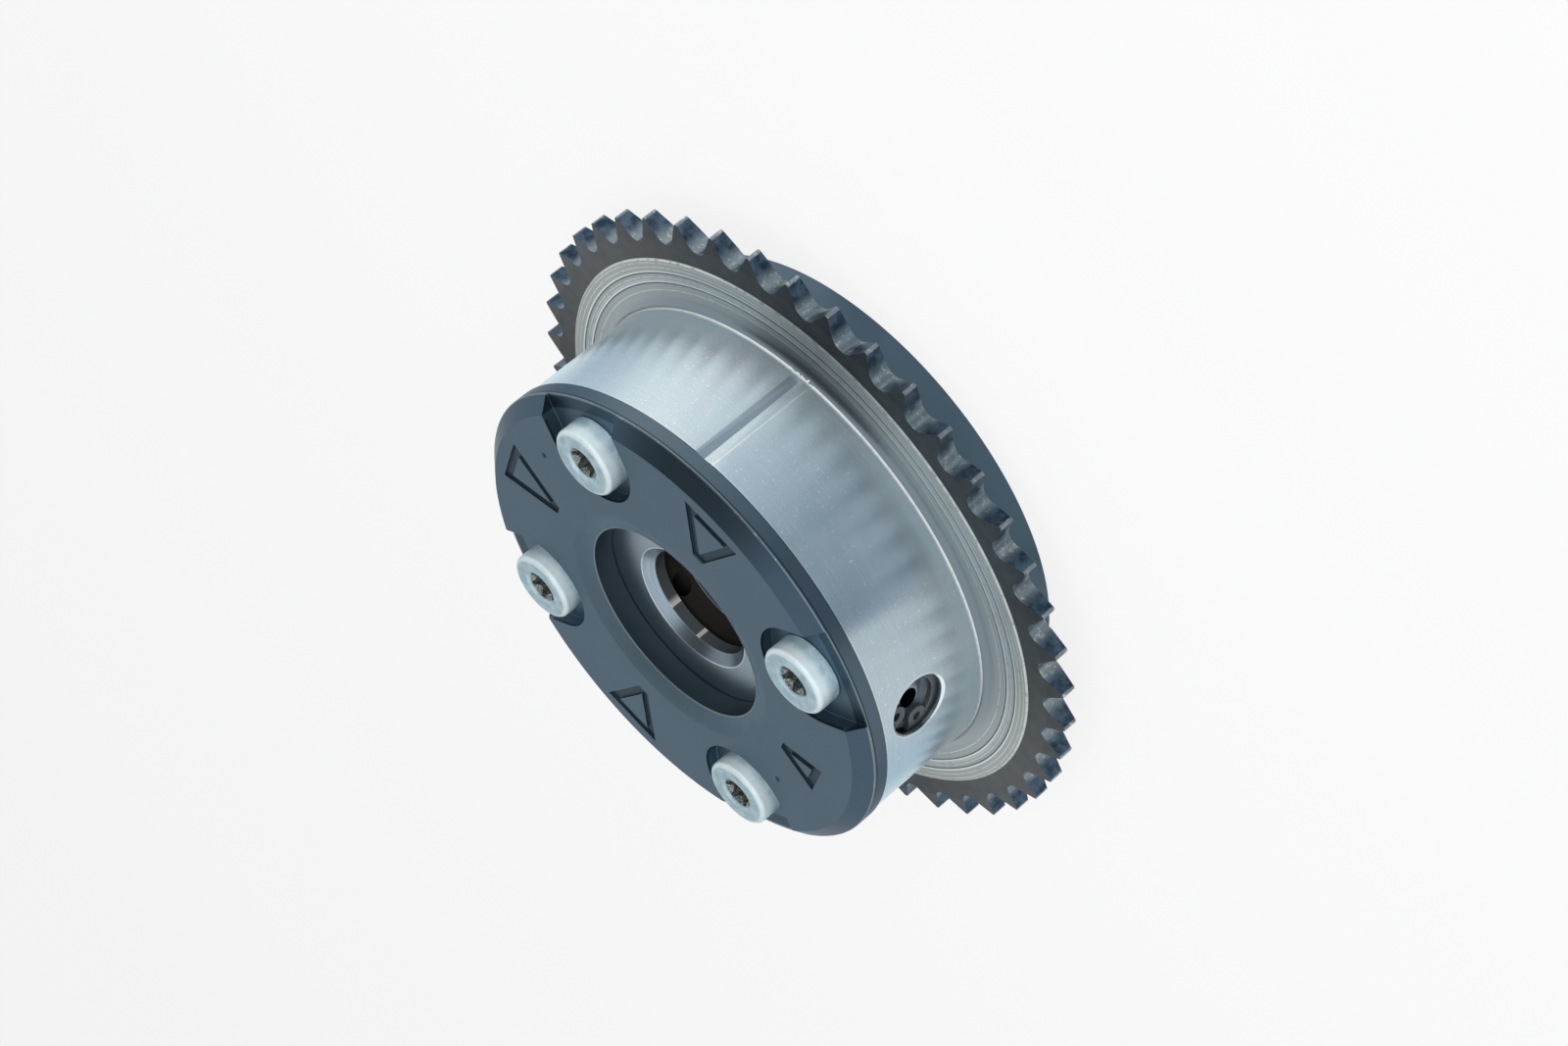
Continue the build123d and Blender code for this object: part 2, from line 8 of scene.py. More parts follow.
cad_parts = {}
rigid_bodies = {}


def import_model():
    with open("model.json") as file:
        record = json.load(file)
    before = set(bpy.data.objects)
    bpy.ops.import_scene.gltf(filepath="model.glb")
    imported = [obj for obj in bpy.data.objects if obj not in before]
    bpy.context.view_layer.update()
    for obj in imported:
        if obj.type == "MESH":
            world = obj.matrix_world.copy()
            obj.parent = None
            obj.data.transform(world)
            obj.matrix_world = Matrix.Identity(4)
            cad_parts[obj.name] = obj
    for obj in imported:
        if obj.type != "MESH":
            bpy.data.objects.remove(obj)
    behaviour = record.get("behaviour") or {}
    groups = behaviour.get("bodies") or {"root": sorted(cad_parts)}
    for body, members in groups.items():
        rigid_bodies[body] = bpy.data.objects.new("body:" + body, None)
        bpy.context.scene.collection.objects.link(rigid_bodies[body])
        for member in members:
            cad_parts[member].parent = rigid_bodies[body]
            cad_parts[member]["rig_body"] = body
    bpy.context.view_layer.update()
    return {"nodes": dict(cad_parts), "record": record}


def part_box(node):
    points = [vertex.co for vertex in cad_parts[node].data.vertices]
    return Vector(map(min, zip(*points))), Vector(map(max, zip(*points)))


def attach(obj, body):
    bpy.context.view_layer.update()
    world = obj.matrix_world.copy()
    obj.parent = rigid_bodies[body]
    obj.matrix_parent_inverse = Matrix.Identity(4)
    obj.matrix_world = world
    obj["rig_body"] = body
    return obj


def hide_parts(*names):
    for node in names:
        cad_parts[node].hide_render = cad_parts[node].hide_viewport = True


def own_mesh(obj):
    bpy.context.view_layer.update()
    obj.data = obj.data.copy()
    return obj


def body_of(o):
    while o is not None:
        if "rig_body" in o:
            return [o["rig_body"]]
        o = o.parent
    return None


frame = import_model()
nodes = frame["nodes"]
slot_of = {part["node"]: part["material_slot"] for part in frame["record"]["subparts"]}

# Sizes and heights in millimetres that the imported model's boxes give
MM = 0.001
wheel_low, wheel_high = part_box("sprocket_housing")
cover_low, cover_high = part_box("front_cover")
drum_low, drum_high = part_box("rear_cover")
bolt_low, bolt_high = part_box("cover_bolt_1")
tip_radius = (wheel_high.x - wheel_low.x) / 2 / MM
wheel_rear = wheel_low.z / MM
housing_radius = (drum_high.x - drum_low.x) / 2 / MM
cover_radius = (cover_high.x - cover_low.x) / 2 / MM
seam = cover_low.z / MM
front_face = cover_high.z / MM
rotor_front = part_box("rotor")[1].z / MM
head_top = bolt_high.z / MM
bolt_tip = bolt_low.z / MM

# Sizes that the boxes don't give, in millimetres and degrees
flange_thickness = 3.8
flange_fillet = 1.9
tooth_root_radius = 54.0
hard_ring_width = 3.0
turned_grooves = (46.52, 48.35)
tool_lines = (45.2, 47.1, 47.6, 49.4, 50.2)
front_chamfer_width = 2.75
front_chamfer_height = 2.35
cone_radius = 21.8
cone_depth = 1.1
hub_hole_radius = 18.2
bore_radius = 10.0
bore_chamfer = 1.6
bore_lip_length = 3.55
groove_angle = 74.4
groove_edge = 2.25
lock_above_flange = 14.8
lock_mouth_radius = 5.25
vent_radius = 1.75
bolt_angle = 18.55
bolt_circle_radius = 33.2
head_radius = 6.1
head_height = 4.3
shank_radius = 3.0
drive_tip_radius = 2.8
crease_angle = 32.0

# Places worked out from both
flange_front = wheel_rear + flange_thickness
fillet_top = flange_front + flange_fillet
light_ring_start = housing_radius + flange_fillet
light_ring_radius = tooth_root_radius - hard_ring_width
plateau_radius = cover_radius - front_chamfer_width
rim_height = front_face - front_chamfer_height
cone_foot = front_face - cone_depth
bore_mouth_radius = bore_radius + bore_chamfer
chamfer_foot = rotor_front - bore_chamfer
lip_foot = rotor_front - bore_lip_length
lock_height = flange_front + lock_above_flange
head_foot = head_top - head_height
bolt_turns = [radians(bolt_angle + 90 * k) for k in range(4)]


class Value:
    """A shader value. Arithmetic on it adds Math nodes to its tree."""

    def __init__(self, shading, socket):
        self.shading = shading
        self.socket = socket

    def __add__(self, other):
        return self.shading.math("ADD", self, other)

    def __sub__(self, other):
        return self.shading.math("SUBTRACT", self, other)

    def __rsub__(self, other):
        return self.shading.math("SUBTRACT", other, self)

    def __mul__(self, other):
        return self.shading.math("MULTIPLY", self, other)

    def __truediv__(self, other):
        return self.shading.math("DIVIDE", self, other)

    __radd__ = __add__
    __rmul__ = __mul__


class Shading:
    """A node tree and the ways to add to it."""

    def __init__(self, tree):
        self.tree = tree

    def raw(self, kind, settings, inputs):
        """Adds one node: its settings first, then the values or links of its sockets."""
        node = self.tree.nodes.new("ShaderNode" + kind)
        for name, value in settings.items():
            if name == "stops":
                ramp = node.color_ramp
                while len(ramp.elements) < len(value):
                    ramp.elements.new(0.5)
                for element, (position, colour) in zip(ramp.elements, value):
                    element.position = position
                    element.color = (*colour, 1.0)
            else:
                setattr(node, name, value)
        for socket, value in inputs.items():
            self.join(value, node.inputs[socket])
        return node

    def node(self, kind, settings, inputs, output=0):
        """Adds one node and gives one of its outputs."""
        return Value(self, self.raw(kind, settings, inputs).outputs[output])

    def join(self, value, socket):
        """Links a shader value to a socket, or writes a plain number or colour into it."""
        if isinstance(value, Value):
            self.tree.links.new(value.socket, socket)
        elif isinstance(value, (tuple, list)) and len(socket.default_value) == 4 and len(value) == 3:
            socket.default_value = (*value, 1.0)
        else:
            socket.default_value = value

    def math(self, operation, *values):
        """Adds a Math node."""
        return self.node("Math", {"operation": operation}, dict(enumerate(values)))

    def parts(self, vector):
        """The three numbers of a vector."""
        split = self.raw("SeparateXYZ", {}, {0: vector})
        return [Value(self, split.outputs[k]) for k in range(3)]

    def rise(self, value, low, high):
        """0 below low, 1 above high and a smooth step between."""
        return self.node("MapRange", {"interpolation_type": "SMOOTHSTEP"},
                         {"Value": value, "From Min": low, "From Max": high})

    def band(self, value, low, high, soft):
        """1 between low and high, with soft sides."""
        return self.rise(value, low - soft, low) * (1 - self.rise(value, high, high + soft))

    def degrees(self, x, y):
        """Direction round an axis, from -180 to 180 degrees."""
        return self.math("ARCTAN2", y, x) * (180 / pi)

    def length(self, x, y):
        """Length of a flat vector."""
        return self.math("SQRT", x * x + y * y)

    def colour(self, factor, first, second):
        """Mixes two colours by a factor from 0 to 1."""
        return self.node("Mix", {"data_type": "RGBA"}, {0: factor, 6: first, 7: second}, 2)


class Finish(Shading):
    """The material of one kind of piece, with the places on the piece that its patterns read."""

    def __init__(self, name, **shader):
        self.material = bpy.data.materials.new(name)
        self.material.use_nodes = True
        super().__init__(self.material.node_tree)
        self.shader = self.tree.nodes["Principled BSDF"]
        for socket, value in shader.items():
            self.set(socket.replace("_", " "), value)
        place = self.node("TexCoord", {}, {}, "Object")
        self.place = self.node("VectorMath", {"operation": "SCALE"}, {0: place, "Scale": 1 / MM})
        self.x, self.y, self.z = self.parts(self.place)
        self.radius = self.length(self.x, self.y)
        self.side = self.degrees(self.x, self.y)

    def set(self, socket, value):
        """Gives one of the shader's own sockets a value or a link."""
        self.join(value, self.shader.inputs[socket])

    def noise(self, scale, detail=2.0, rough=0.5, place=None):
        """Cloudy noise from 0 to 1 at a scale per millimetre."""
        place = self.place if place is None else place
        return self.node("TexNoise", {}, {"Vector": place, "Scale": scale, "Detail": detail,
                                          "Roughness": rough})

    def round_place(self, along, turns):
        """Place that runs fast along one value and slowly round the axis, for turned lines."""
        safe = self.radius + 0.001
        return self.node("CombineXYZ", {}, {0: along, 1: self.x / safe * turns, 2: self.y / safe * turns})

    def facing(self):
        """How squarely the surface looks along the axis: 0 on a wall, 1 on a flat face."""
        return self.math("ABSOLUTE", self.parts(self.node("TexCoord", {}, {}, "Normal"))[2])

    def bump(self, height, strength, distance):
        """Raises the surface by a height map, with a distance in millimetres."""
        normal = self.node("Bump", {}, {"Strength": strength, "Distance": distance * MM,
                                        "Height": height})
        self.set("Normal", normal)


def srgb(red, green, blue):
    """Linear colour of a display colour from 0 to 255."""
    def one(value):
        value /= 255
        return value / 12.92 if value <= 0.04045 else ((value + 0.055) / 1.055) ** 2.4
    return (one(red), one(green), one(blue))


def wall_colour(f, turned, clouds, broken):
    """Pale wall with turned lines and slow clouds, small bright specks painted as highlights and a scuffed
    patch by the groove.
    """
    r, z = f.radius, f.z
    scuff_and_highlight_white = srgb(250, 253, 254)
    wall = f.colour(clouds * 0.4 + turned * 0.6, srgb(190, 208, 217), srgb(233, 246, 252))
    # Small bright specks are painted highlights; the scuffs are wear, in the same white
    highlight_specks = f.rise(f.noise(2.6, 1.0, 0.4), 0.67, 0.73)
    scuff_start, scuff_end = 66.0, 86.0
    scuffs = f.band(f.side, scuff_start, scuff_end, 5.0) * f.rise(z, seam - 9.0, seam - 1.0)
    scuffs = scuffs * f.rise(f.noise(1.7, 4.0, 0.7), 0.55, 0.7)
    wall = f.colour(highlight_specks * 0.7 + scuffs * 0.45, wall, scuff_and_highlight_white)

    # Painted shade over the fillet at the foot of the wall and a thin painted highlight line above it, with a
    # wobble at the groove
    by_groove = f.band(f.side, groove_angle - 3.0, groove_angle + 3.0, 1.5)
    wobble = (f.noise(1.6, 3.0, 0.6) - 0.5) * by_groove * 1.6
    foot_shade = 1 - f.rise(z + wobble, fillet_top - 0.72, fillet_top - 0.6)
    foot_light = f.band(z + wobble, fillet_top - 0.6, fillet_top - 0.3, 0.06)
    wall = f.colour(foot_shade, wall, srgb(122, 136, 144))
    wall = f.colour(foot_light * (0.4 + broken * 0.6), wall, scuff_and_highlight_white)

    # A thin broken painted highlight line and a painted shadow line under the front cover
    seam_light = f.band(z, seam - 0.45, seam - 0.32, 0.05)
    wall = f.colour(seam_light * (0.15 + broken * 0.35), wall, srgb(246, 250, 252))
    wall = f.colour(f.rise(z, seam - 0.26, seam - 0.16), wall, srgb(52, 60, 68))

    # Groove: painted shade on the flank and the edge away from the lock, and a painted highlight on the edge
    # towards it
    up = f.rise(z, fillet_top, fillet_top + 1.0)
    near_place, far_place = groove_angle - groove_edge, groove_angle + groove_edge
    far_flank_shade = f.band(f.side, groove_angle + 0.1, far_place - 0.15, 0.15) * up
    wall = f.colour(far_flank_shade * 0.55, wall, srgb(134, 149, 164))
    near_edge_highlight = f.band(f.side, near_place - 0.3, near_place, 0.1) * up
    wall = f.colour(near_edge_highlight * (0.4 + broken * 0.5), wall, scuff_and_highlight_white)
    far_edge_shade = f.band(f.side, far_place - 0.05, far_place + 0.15, 0.1) * up
    wall = f.colour(far_edge_shade * 0.4, wall, srgb(118, 132, 146))

    # Painted highlight round the mouth of the lock's hole, and painted shade inside the hole
    lock_side = f.rise(f.x, 30.0, 31.0)
    lock_place = f.length(f.y, z - lock_height)
    mouth = f.band(lock_place, lock_mouth_radius + 0.05, lock_mouth_radius + 0.5, 0.06)
    mouth = mouth * f.rise(r, housing_radius - 0.7, housing_radius - 0.5) * lock_side
    hole_shade = (1 - f.rise(r, housing_radius - 0.9, housing_radius - 0.5)) * lock_side
    wall = f.colour(mouth * 0.85, wall, srgb(236, 244, 248))
    return f.colour(hole_shade, wall, srgb(98, 108, 116))


def ring_colour(f, turned, broken):
    """Grey turned ring beside the wall, with two turned grooves in painted shade and highlight, and a warmer,
    lighter outer band.
    """
    r = f.radius
    ring = f.colour(turned, srgb(150, 162, 165), srgb(168, 178, 181))
    outer = f.rise(r, turned_grooves[1], turned_grooves[1] + 0.3)
    ring = f.colour(outer * 0.6, ring, srgb(168, 174, 172))
    for place in tool_lines:
        line = f.band(r, place, place + 0.1, 0.06) * broken
        ring = f.colour(line * 0.75, ring, srgb(214, 222, 223))
    # Painted shade in each turned groove and a painted highlight beside it
    for place in turned_grooves:
        groove_shade = f.band(r, place - 0.12, place + 0.05, 0.06)
        groove_highlight = f.band(r, place + 0.16, place + 0.34, 0.06)
        ring = f.colour(groove_shade * 0.85, ring, srgb(72, 82, 86))
        ring = f.colour(groove_highlight * 0.85, ring, srgb(236, 243, 245))
    # Painted highlight along the rounded edge by the hardened band
    edge_highlight = f.band(r, light_ring_radius - 0.3, light_ring_radius - 0.1, 0.06)
    return f.colour(edge_highlight * broken * 0.8, ring, srgb(215, 222, 222))


def hardened_colour(f):
    """Dark hardened band with a little rust, and the teeth, worn bright on their tips and in the gaps, with a
    painted highlight in the bottom of each gap.
    """
    r = f.radius
    flat = f.rise(f.facing(), 0.45, 0.75)
    teeth = f.rise(r, tooth_root_radius - 0.15, tooth_root_radius + 0.15)
    hard = f.colour(f.noise(0.35, 4.0, 0.6), srgb(52, 59, 63), srgb(84, 91, 96))
    rust = f.rise(f.noise(0.7, 4.0, 0.6), 0.56, 0.7) * (1 - teeth)
    hard = f.colour(rust * 0.4, hard, srgb(86, 80, 74))
    flank = f.colour(f.rise(f.noise(0.6, 4.0, 0.6), 0.3, 0.7), srgb(48, 65, 81), srgb(94, 114, 131))
    # Painted highlight in the bottom of each gap
    gap_highlight = 1 - f.rise(r, tooth_root_radius + 0.5, tooth_root_radius + 2.2)
    flank = f.colour(gap_highlight * 0.65, flank, srgb(166, 180, 186))
    worn = f.rise(f.noise(1.3, 4.0, 0.7), 0.52, 0.66)
    run = f.band(r, tooth_root_radius - 0.2, tooth_root_radius + 0.9, 0.5)
    flank = f.colour(worn * run * 0.9, flank, srgb(204, 208, 200))
    tips = f.rise(r, tip_radius - 0.3, tip_radius - 0.12)
    flank = f.colour(tips * (0.35 + worn * 0.65), flank, srgb(222, 228, 231))
    hard = f.colour(teeth * (1 - flat), hard, flank)
    return f.colour(tips * worn * flat * 0.6, hard, srgb(190, 198, 202))


def housing_finish():
    """Fine turned steel: pale wall, greyer ring, dark hardened band and blue-grey teeth."""
    f = Finish("housing_steel", Metallic=1.0, Anisotropic=0.9, Anisotropic_Rotation=0.25)
    r, z = f.radius, f.z
    hard = f.math("MAXIMUM", f.rise(r, light_ring_radius - 0.03, light_ring_radius + 0.03),
                  1 - f.rise(z, wheel_rear + 0.1, wheel_rear + 0.3))
    ring = f.rise(r, housing_radius + 0.7, light_ring_start) * (1 - hard)
    turned_wall = f.noise(6.0, 4.0, 0.65, f.round_place(z, 0.5))
    turned_ring = f.noise(9.0, 3.0, 0.6, f.round_place(r, 0.35))
    clouds = f.noise(0.11, 3.0, 0.55)
    broken = f.rise(f.noise(0.8, 3.0, 0.6), 0.3, 0.5)
    base = f.colour(ring, wall_colour(f, turned_wall, clouds, broken), ring_colour(f, turned_ring, broken))
    f.set("Base Color", f.colour(hard, base, hardened_colour(f)))
    f.set("Roughness", 0.225 + clouds * 0.05 + hard * 0.16 + ring * 0.13)
    height = turned_wall * (1 - ring) * (1 - hard) * 0.4 + turned_ring * ring * 0.5 + f.noise(3.0, 3.0) * hard
    f.bump(height, 0.25, 0.02)
    return f.material


def drum_finish():
    """Rear cover: dark slate coat over turned steel."""
    f = Finish("rear_cover_steel", Metallic=0.95, Specular_Tint=(0.7, 0.72, 0.75))
    clouds = f.noise(0.09, 3.0, 0.55)
    grain = f.noise(5.0, 3.0, 0.6)
    f.set("Base Color", f.colour(clouds * 0.7 + grain * 0.3, srgb(86, 104, 116), srgb(108, 126, 139)))
    f.set("Roughness", 0.34 + clouds * 0.08 + grain * 0.05)
    f.bump(grain, 0.12, 0.02)
    return f.material


def cover_finish():
    """Front cover: satin slate face, turned chamfer and side, bright nicks and a painted highlight line along
    the rim.
    """
    f = Finish("front_cover_steel", Metallic=0.95, Specular_Tint=(0.6, 0.62, 0.65))
    r, z = f.radius, f.z
    clouds = f.noise(0.09, 3.0, 0.55)
    grain = f.noise(5.0, 3.0, 0.6)
    base = f.colour(clouds * 0.45 + grain * 0.5, srgb(90, 113, 129), srgb(118, 140, 154))
    chamfer = f.rise(r, plateau_radius - 0.05, plateau_radius + 0.05)
    base = f.colour(chamfer, base, srgb(72, 91, 106))
    below_rim = 1 - f.rise(z, rim_height - 0.1, rim_height)
    outside = f.rise(r, cover_radius - 0.5, cover_radius - 0.4)
    base = f.colour(below_rim * outside, base, srgb(100, 117, 128))
    # Painted shade on the wall of the hub hole
    hole = 1 - f.rise(r, hub_hole_radius + 0.05, hub_hole_radius + 0.15)
    base = f.colour(hole, base, srgb(74, 87, 96))
    # Painted highlight along the edge of the hub hole
    lip = f.band(r, hub_hole_radius - 0.05, hub_hole_radius + 0.16, 0.05)
    lip = lip * f.rise(z, cone_foot - 0.2, cone_foot - 0.1)
    base = f.colour(lip * 0.5, base, srgb(168, 184, 192))

    # Painted shade inside the sunk marks and punched dots
    sunk_shade = f.band(z, front_face - 0.55, front_face - 0.15, 0.05)
    sunk_shade = sunk_shade * f.band(r, cone_radius + 1.0, plateau_radius - 1.0, 0.2)
    base = f.colour(sunk_shade * 0.6, base, srgb(34, 42, 50))

    # Painted highlight line with worn nicks where the chamfer meets the side, and a painted shade line under
    # it
    nick = f.rise(f.noise(0.9, 4.0, 0.7), 0.6, 0.68)
    rim = f.band(z, rim_height - 0.12, rim_height + 0.1, 0.08) * outside
    base = f.colour(rim * (0.3 + nick * 0.7), base, srgb(190, 204, 211))
    below = f.band(z, rim_height - 0.45, rim_height - 0.25, 0.08) * outside
    base = f.colour(below * 0.6, base, srgb(40, 48, 55))
    f.set("Base Color", base)
    f.set("Roughness", 0.36 + clouds * 0.08 + grain * 0.05 - chamfer * 0.1)
    turned = f.noise(6.0, 2.0, 0.5, f.round_place(z, 0.4))
    f.bump(grain * (1 - chamfer) + turned * chamfer, 0.15, 0.02)
    return f.material


def rotor_finish():
    """Ground steel face with turned lines, which are stronger on the bore's chamfer."""
    f = Finish("rotor_steel")
    r, z = f.radius, f.z
    turned = f.noise(8.0, 3.0, 0.6, f.round_place(r, 0.3))
    base = f.colour(turned, srgb(132, 149, 160), srgb(170, 186, 196))
    chamfer = f.band(r, bore_radius + 0.12, bore_mouth_radius - 0.05, 0.08)
    chamfer = chamfer * f.rise(z, chamfer_foot - 0.2, chamfer_foot)
    lines = f.noise(7.0, 3.0, 0.6, f.round_place(r, 0.2))
    base = f.colour(chamfer, base, f.colour(lines, srgb(118, 137, 150), srgb(174, 192, 204)))
    # Painted shade on one side of the bore's chamfer
    shaded_side = f.band(f.side, -85.0, 0.0, 40.0)
    base = f.colour(chamfer * shaded_side * 0.6, base, srgb(74, 84, 92))
    # Painted highlight along the outer edge of the bore's chamfer
    rim = f.band(r, bore_mouth_radius - 0.06, bore_mouth_radius + 0.1, 0.05)
    base = f.colour(rim * 0.8, base, srgb(225, 233, 238))

    # Bore: painted shade on the lip with two painted highlight streaks, and darker still and browner below it
    lip = 1 - f.rise(r, bore_radius + 0.02, bore_radius + 0.1)
    base = f.colour(lip, base, srgb(76, 82, 86))
    low = 1 - f.rise(z, lip_foot - 0.05, lip_foot + 0.05)
    base = f.colour(low * f.rise(r, bore_radius + 0.2, bore_radius + 0.4), base, srgb(44, 41, 38))
    wide = f.band(f.side, -149.5, -140.5, 0.6) * f.rise(f.side, -150.0, -141.0)
    narrow = f.band(f.side, -106.0, -102.5, 0.8)
    highlight_streaks = (wide * 0.8 + narrow * 0.7) * lip * (1 - low)
    base = f.colour(highlight_streaks, base, srgb(222, 224, 212))
    f.set("Base Color", base)
    f.set("Metallic", 1 - f.math("MAXIMUM", lip, low) * 0.75)
    f.set("Roughness", 0.26 + turned * 0.1)
    f.bump(turned, 0.15, 0.02)
    return f.material


def zinc_finish():
    """Pale zinc flake coat on the bolts, a little grainy, with bare grey metal in the sockets and a painted
    highlight on the shoulders.
    """
    f = Finish("bolt_zinc")
    clouds = f.noise(0.5, 4.0, 0.65)
    grain = f.noise(4.0, 3.0, 0.7)
    base = f.colour(f.rise(clouds, 0.35, 0.7), srgb(160, 189, 199), srgb(192, 217, 227))
    base = f.colour(f.rise(grain, 0.6, 0.72) * 0.6, base, srgb(230, 240, 244))

    # Distance from the axis of the nearest bolt
    out, *others = [f.length(f.x - bolt_circle_radius * cos(turn), f.y - bolt_circle_radius * sin(turn))
                    for turn in bolt_turns]
    for other in others:
        out = f.math("MINIMUM", out, other)
    # Painted highlight on the rounded shoulder of each head
    shoulder = f.rise(out, head_radius - 0.95, head_radius - 0.5)
    shoulder = shoulder * f.rise(f.z, head_top - 3.0, head_top - 1.5)
    base = f.colour(shoulder * 0.6, base, srgb(240, 251, 253))
    socket = 1 - f.rise(out, drive_tip_radius + 0.15, drive_tip_radius + 0.3)
    socket = socket * (1 - f.rise(f.z, head_top - 0.6, head_top - 0.3))
    bare = f.colour(f.rise(grain, 0.35, 0.65), srgb(58, 62, 60), srgb(178, 188, 184))
    f.set("Base Color", f.colour(socket, base, bare))
    f.set("Metallic", 0.35 + socket * 0.55)
    f.set("Roughness", 0.42 + grain * 0.12)
    f.bump(grain, 0.2, 0.03)
    return f.material


def plain_finish(name, dark, light, roughness, metallic=1.0, vent=0.0):
    """Slow change of tone and a fine grain, with painted shade inside a vent of that radius along the lock's
    axis.
    """
    f = Finish(name, Metallic=metallic)
    grain = f.noise(1.5, 4.0, 0.6)
    base = f.colour(grain, dark, light)
    if vent:
        # Painted shade inside the vent
        hole_shade = 1 - f.rise(f.length(f.y, f.z - lock_height), vent + 0.02, vent + 0.1)
        base = f.colour(hole_shade, base, srgb(22, 24, 26))
    f.set("Base Color", base)
    f.set("Roughness", roughness + grain * 0.1)
    f.bump(grain, 0.1, 0.02)
    return f.material


def placed(node, mesh):
    """Puts a finished mesh in the place of a CAD node."""
    piece = bpy.data.objects.new(node + "_finished", mesh)
    bpy.context.scene.collection.objects.link(piece)
    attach(piece, body_of(nodes[node])[0])
    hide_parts(node)
    return piece


def coated(mesh, finish):
    """Gives a mesh its finish."""
    mesh.materials.clear()
    mesh.materials.append(finish)


def smoothed(mesh, finish):
    """Gives a mesh its finish, and smooth shading up to the crease angle."""
    coated(mesh, finish)
    mesh.polygons.foreach_set("use_smooth", np.ones(len(mesh.polygons), bool))
    mesh.set_sharp_from_angle(angle=radians(crease_angle))


def dressed(node, finish, width):
    """A copy of a CAD node, its triangles joined and its edges broken by a small round."""
    same_point, same_plane = 0.002 * MM, radians(0.3)
    mesh = nodes[node].data.copy()
    shape = bmesh.new()
    shape.from_mesh(mesh)
    bmesh.ops.remove_doubles(shape, verts=shape.verts, dist=same_point)
    bmesh.ops.dissolve_limit(shape, angle_limit=same_plane, verts=shape.verts, edges=shape.edges)
    shape.to_mesh(mesh)
    shape.free()
    smoothed(mesh, finish)
    piece = placed(node, mesh)
    bevel = piece.modifiers.new("edge_break", "BEVEL")
    bevel.width = width * MM
    bevel.segments = 2
    bevel.limit_method = "ANGLE"
    bevel.angle_limit = radians(crease_angle)
    bevel.use_clamp_overlap = True
    level = piece.modifiers.new("level_faces", "WEIGHTED_NORMAL")
    level.keep_sharp = True
    level.weight = 100


def sprung(node, finish):
    """The pin's spring, a copy of its mesh with its finish, put in the place of its CAD node."""
    mesh = nodes[node].data.copy()
    coated(mesh, finish)
    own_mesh(placed(node, mesh))


def lathe(rows, sides):
    """Mesh turned about the axis: row k is r_k(t) (cos t, sin t) at height z_k(t), t from 0 to 2 pi.
    The first and last rows are points on the axis."""
    t = np.arange(sides) * 2 * pi / sides
    rings = [np.stack([r * np.cos(t), r * np.sin(t), z + 0 * t], 1) for r, z in rows[1:-1]]
    points = np.concatenate([[[0, 0, rows[0][1]]], *rings, [[0, 0, rows[-1][1]]]])
    here = np.arange(sides)
    after = (here + 1) % sides
    low = 1 + sides * np.arange(len(rings) - 1)[:, None]
    walls = np.stack([low + here, low + sides + here, low + sides + after, low + after], 2).reshape(-1, 4)
    last = len(points) - 1
    first_fan = np.stack([0 * here, 1 + here, 1 + after], 1)
    last_fan = np.stack([last + 0 * here, last - sides + after, last - sides + here], 1)
    return points, first_fan.tolist() + walls.tolist() + last_fan.tolist()


def turned_bolt(node, finish, turn):
    """Cover bolt with a rounded shoulder and a six-lobed socket. In direction t the socket reaches
    min(R, d cos s - sqrt(f^2 - (d sin s)^2)), where s is the turn from the nearest flute, f the
    flute's radius and d the distance of its centre; its mouth is a cone."""
    waist, flute, mouth, depth = 2.0, 1.15, 3.3, 2.7
    shoulder, foot_chamfer, end_chamfer = 0.85, 0.15, 0.5
    sides = 96
    t = np.arange(sides) * 2 * pi / sides
    s = (t % (pi / 3)) - pi / 6
    centre = waist + flute
    under = np.clip(flute ** 2 - (centre * np.sin(s)) ** 2, 0, None)
    in_flute = centre * np.abs(np.sin(s)) < flute
    reach = np.where(in_flute, centre * np.cos(s) - np.sqrt(under), drive_tip_radius)
    lobes = np.minimum(drive_tip_radius, reach)
    rows = [(0, head_top - depth), (lobes, head_top - depth), (lobes, head_top - (mouth - lobes)),
            (mouth, head_top), (head_radius - shoulder, head_top)]
    for a in np.radians(np.arange(15, 91, 15)):
        rows.append((head_radius - shoulder * (1 - np.sin(a)), head_top - shoulder * (1 - np.cos(a))))
    rows += [(head_radius, head_foot + foot_chamfer), (head_radius - foot_chamfer, head_foot),
             (shank_radius, head_foot), (shank_radius, bolt_tip + end_chamfer),
             (shank_radius - end_chamfer, bolt_tip), (0, bolt_tip)]
    points, faces = lathe(rows, sides)
    turning = np.array([[cos(turn), sin(turn), 0], [-sin(turn), cos(turn), 0], [0, 0, 1]])
    points = (points + [bolt_circle_radius, 0, 0]) @ turning
    mesh = bpy.data.meshes.new(node)
    mesh.from_pydata((points * MM).tolist(), [], faces)
    smoothed(mesh, finish)
    placed(node, mesh)


def towards(azimuth, height):
    """Unit vector at an azimuth and a height in degrees."""
    azimuth, height = radians(azimuth), radians(height)
    return Vector((cos(azimuth) * cos(height), sin(azimuth) * cos(height), sin(height)))


